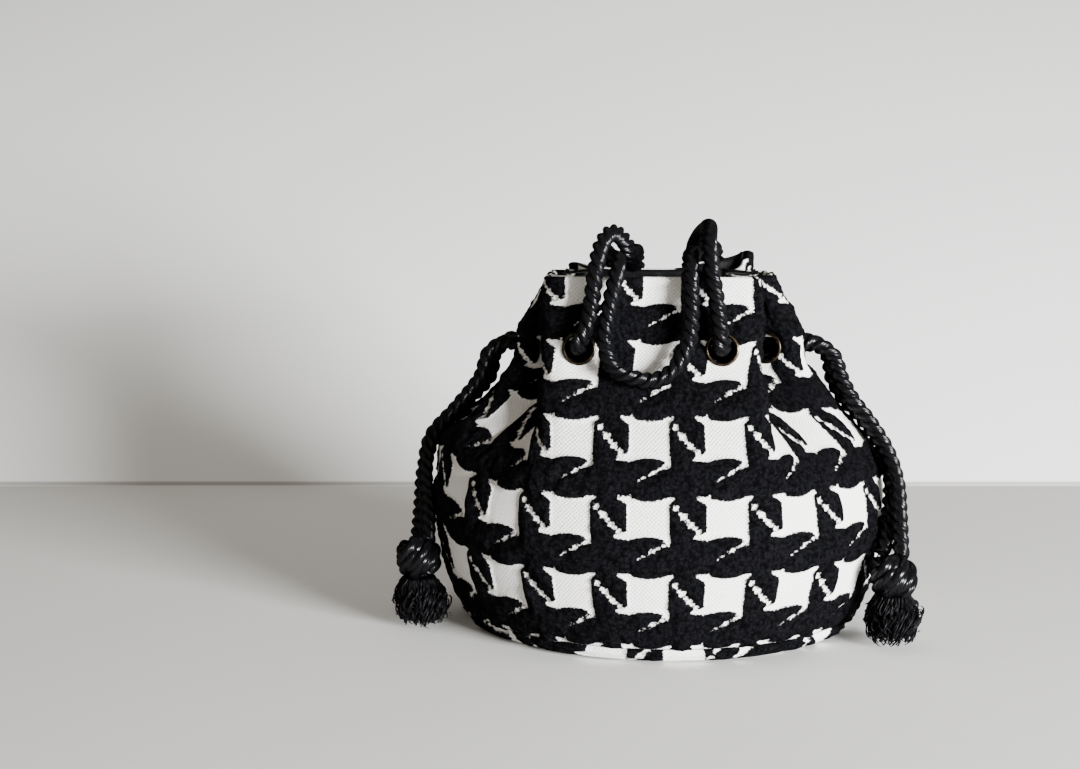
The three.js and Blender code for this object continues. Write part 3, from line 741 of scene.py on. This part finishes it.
tassels = {
    "strands": 560, "rows": 26, "sides": 3, "top": 22.0, "thick": (0.55, 0.38), "crown": 7.0, "foot": 9.5,
    "curl": 2.5, "seed": {"left": 3, "right": 8}, "lean": {"left": (2.5, -2.0), "right": (0.5, -2.0)},
    "inner": 0.02, "flare": (0.75, 1.1), "low": 3.0, "ragged": 8.0, "bias": 1.6, "swell": 2.4, "stray": 0.7,
    "curlSpan": (0.05, 0.6), "curlShare": 0.25, "spin": (9, 17), "spinStart": 6.28, "bob": (0.9, 1.0),
    "clear": 0.5, "uvLength": 20.0,
}


# Frayed yarn: each strand falls from the knot's foot to a random height above the table, swells outward half
# way down, and curls about its own path in a growing random spiral, as a thin three-sided tube.
def tasselGrid(side):
    rng = np.random.default_rng(tassels["seed"][side])
    count = tassels["strands"]
    f = np.linspace(0, 1, tassels["rows"])
    angle = rng.uniform(0, 2 * np.pi, count)[:, None]
    reach = np.sqrt(rng.uniform(tassels["inner"], 1, count))[:, None]
    end = tassels["foot"] * reach * rng.uniform(*tassels["flare"], (count, 1))
    foot = tassels["low"] + tassels["ragged"] * rng.uniform(0, 1, (count, 1))**tassels["bias"]
    swell = tassels["swell"] * reach * np.sin(np.pi * f)
    far = tassels["crown"] * reach * (1 - f) + end * f + swell
    way = angle + rng.uniform(-tassels["stray"], tassels["stray"], (count, 1)) * f
    curl = tassels["curl"] * smoothStep(*tassels["curlSpan"], f)
    curl = curl * rng.uniform(tassels["curlShare"], 1, (count, 1))
    spin = rng.uniform(*tassels["spin"], (count, 1)) * rng.choice([-1, 1], (count, 1)) * f
    spin = spin + rng.uniform(0, tassels["spinStart"], (count, 1))
    bob, ahead = tassels["bob"]
    leanX, leanY = tassels["lean"][side]
    middle = knots[side]["middle"]
    x = far * np.cos(way) + curl * np.cos(spin) + middle[0] + leanX * f**2
    y = far * np.sin(way) + curl * np.sin(spin) + middle[1] + leanY * f**2
    z = tassels["top"] + (foot - tassels["top"]) * f + bob * curl * np.sin(spin + ahead)
    line = np.stack([x, y, np.maximum(z, tassels["clear"])], -1)
    thickTop, thickEnd = tassels["thick"]
    radius = thickTop + (thickEnd - thickTop) * f
    turn = np.arange(tassels["sides"]) / tassels["sides"] * 2 * np.pi
    ring = np.stack([np.cos(turn), np.sin(turn), 0 * turn], -1)
    return line[:, :, None] + ring * radius[:, None, None], f


yarnUv = np.linspace(0, 1, tassels["sides"] + 1)
endPieces = []
for side in knots:
    points, stops = knotGrid(side)
    knot = gridMesh(side + "_knot", points, caps=True, uv=(ropeUv, stops))
    place(knot, satinCord, "cord", "knot_" + side)
    points, share = tasselGrid(side)
    tassel = gridMesh(side + "_tassel", points[:, ::-1], caps=True, uv=(yarnUv, share * tassels["uvLength"]))
    place(tassel, frayedYarn, "tassel", "tassel_" + side)
    endPieces += [knot, tassel]
    print(side, "knot and tassel", len(knot.data.polygons), len(tassel.data.polygons))


stage = {
    "floor": 0.32, "turn": 4.29, "cove": 0.003, "slope": 33.0, "rise": 0.7, "reach": 3.0, "front": -2.5,
    "coveParts": 12, "table": (0.66, 0.658, 0.64, 1), "back": (0.74, 0.745, 0.735, 1),
    # The dark "seam" colour and its share are painted shade for the shaded gap behind the table's back edge.
    "seam": (0.25, 0.24, 0.22, 1), "gapShadeShare": 0.7, "change": (0.0005, 0.003),
    "gapShadeFrom": (0.0001, 0.0006), "gapShadeTo": (0.0016, 0.003), "grain": {"Scale": 60.0, "Detail": 4.0},
    "bump": {"Strength": 0.08, "Distance": 0.001}, "finish": {"Roughness": 0.7, "Specular IOR Level": 0.1},
}


# Table and backdrop in one sheet, turned to face the camera: a flat floor, a small round and a slope that is
# low enough to look over from behind. Its colour changes with height, with a band of painted shade at the
# round for the shaded gap behind the table's back edge.
def makeStage():
    slope = radians(stage["slope"])
    angle = np.linspace(0, slope, stage["coveParts"])
    end = stage["floor"] + stage["rise"] / np.tan(slope)
    depth = np.concatenate([[stage["front"]], stage["floor"] + stage["cove"] * np.sin(angle), [end]])
    height = np.concatenate([[0], stage["cove"] * (1 - np.cos(angle)), [stage["rise"]]])
    across = np.array([-stage["reach"], stage["reach"]])
    turn = radians(stage["turn"])
    x = across * np.cos(turn) - depth[:, None] * np.sin(turn)
    y = across * np.sin(turn) + depth[:, None] * np.cos(turn)
    points = np.stack([x, y, height[:, None] + 0 * x], -1)
    mesh = bpy.data.meshes.new("stage")
    low = np.arange(len(depth) - 1) * 2
    faces = np.stack([low, low + 1, low + 3, low + 2], 1)
    mesh.from_pydata(points.reshape(-1, 3).tolist(), [], faces.tolist())
    mesh.shade_smooth()
    look, add, surface = newLook("pale table and backdrop")
    spot = add("TexCoord", {}, {})["Object"]
    grain = add("TexNoise", {}, {"Vector": spot, **stage["grain"]})[0]
    rise = add("SeparateXYZ", {}, {0: spot})[2]
    normal = add("Bump", {}, {"Height": grain, **stage["bump"]})[0]
    colour = mixColour(add, spread(add, rise, *stage["change"]), stage["table"], stage["back"])
    # Painted shade: a dark band at the round, where the table's back edge would leave a shaded gap.
    gapShade = maths(add, "SUBTRACT", spread(add, rise, *stage["gapShadeFrom"]), spread(add, rise, *stage["gapShadeTo"]))
    colour = mixColour(add, maths(add, "MULTIPLY", gapShade, stage["gapShadeShare"]), colour, stage["seam"])
    surface({"Base Color": colour, "Normal": normal, **stage["finish"]})
    mesh.materials.append(look)
    piece = bpy.data.objects.new("stage", mesh)
    bpy.context.collection.objects.link(piece)


makeStage()
print("stage made")

lights = {
    "window": {"place": (0.98, -1.03, 0.2), "aim": (0, 0, 0.1), "size": (0.6, 0.3), "power": 152.0,
               "colour": (0.98, 0.99, 1)},
    "fill": {"place": (-1.1, -1.4, 1.2), "aim": (0, 0, 0.08), "size": (1.6, 1.6), "power": 4.0,
             "colour": (1, 0.9, 0.78)},
    "wash": {"place": (0.35, 0.7, 1.3), "aim": (0.1, 1.0, 0.3), "size": (1.8, 0.6), "power": 6.0,
             "colour": (1, 0.99, 0.97)},
}
room = {"colour": (1, 0.89, 0.74, 1), "strength": 0.24}


# Turn that makes an object's -Z axis look from one point to another.
def lookAt(start, aim):
    return (Vector(aim) - Vector(start)).to_track_quat("-Z", "Y").to_euler()


for name, row in lights.items():
    lamp = bpy.data.lights.new(name, "AREA")
    lamp.shape = "RECTANGLE"
    lamp.size, lamp.size_y = row["size"]
    lamp.energy = row["power"]
    lamp.color = row["colour"]
    holder = bpy.data.objects.new(name, lamp)
    holder.location = row["place"]
    holder.rotation_euler = lookAt(row["place"], row["aim"])
    bpy.context.collection.objects.link(holder)

sky = bpy.data.worlds.new("room")
sky.use_nodes = True
sky.node_tree.nodes["Background"].inputs[0].default_value = room["colour"]
sky.node_tree.nodes["Background"].inputs[1].default_value = room["strength"]
bpy.context.scene.world = sky

view = {"place": (0, -0.714, 0.186), "down": 6.58, "yaw": 4.29, "lens": 53.33, "sensor": 36.0}
camera = bpy.data.cameras.new("camera")
camera.lens = view["lens"]
camera.sensor_width = view["sensor"]
cameraHolder = bpy.data.objects.new("camera", camera)
cameraHolder.location = view["place"]
cameraHolder.rotation_euler = (radians(90 - view["down"]), 0, radians(view["yaw"]))
bpy.context.collection.objects.link(cameraHolder)
bpy.context.scene.camera = cameraHolder
